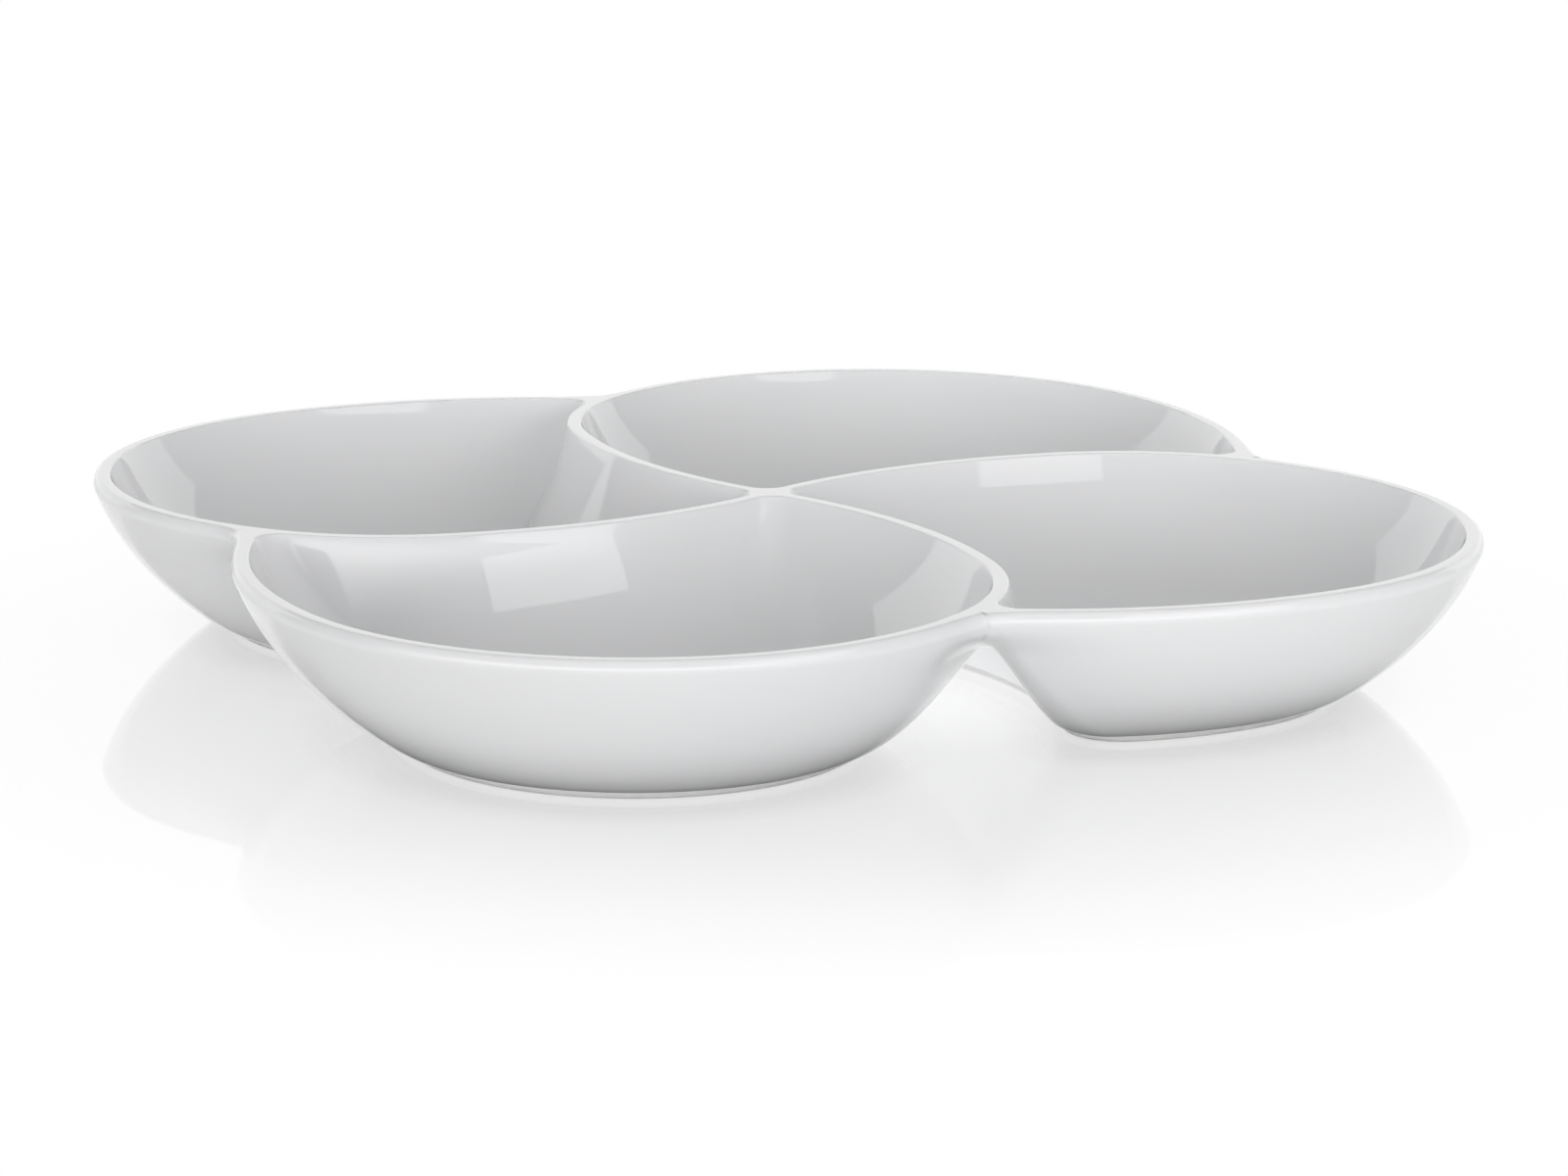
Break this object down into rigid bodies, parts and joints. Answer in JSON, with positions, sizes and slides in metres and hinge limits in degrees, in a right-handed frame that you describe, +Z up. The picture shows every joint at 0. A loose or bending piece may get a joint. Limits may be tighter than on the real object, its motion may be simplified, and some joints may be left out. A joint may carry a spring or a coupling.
{
  "type": "divided serving bowl",
  "caption": "Low white glazed dish of leaf-shaped bowls set in a pinwheel around one middle point, sharing rounded dividers, for serving snacks, dips or salads side by side.",
  "frame": {"origin": "on the floor under the middle of the dish, where the dividers cross", "axes": "+Z up out of the bowls, -Y towards the front bowl and the viewer, +X towards the right bowl"},
  "size_m": [0.282, 0.282, 0.0325],
  "materials": {
    "glaze": "gloss",
    "biscuit": "matte"
  },
  "bodies": {
    "root": {"left_bowl": "glaze", "front_bowl": "glaze", "right_bowl": "glaze", "back_bowl": "glaze", "left_foot": "biscuit", "front_foot": "biscuit", "right_foot": "biscuit", "back_foot": "biscuit"}
  },
  "joints": []
}
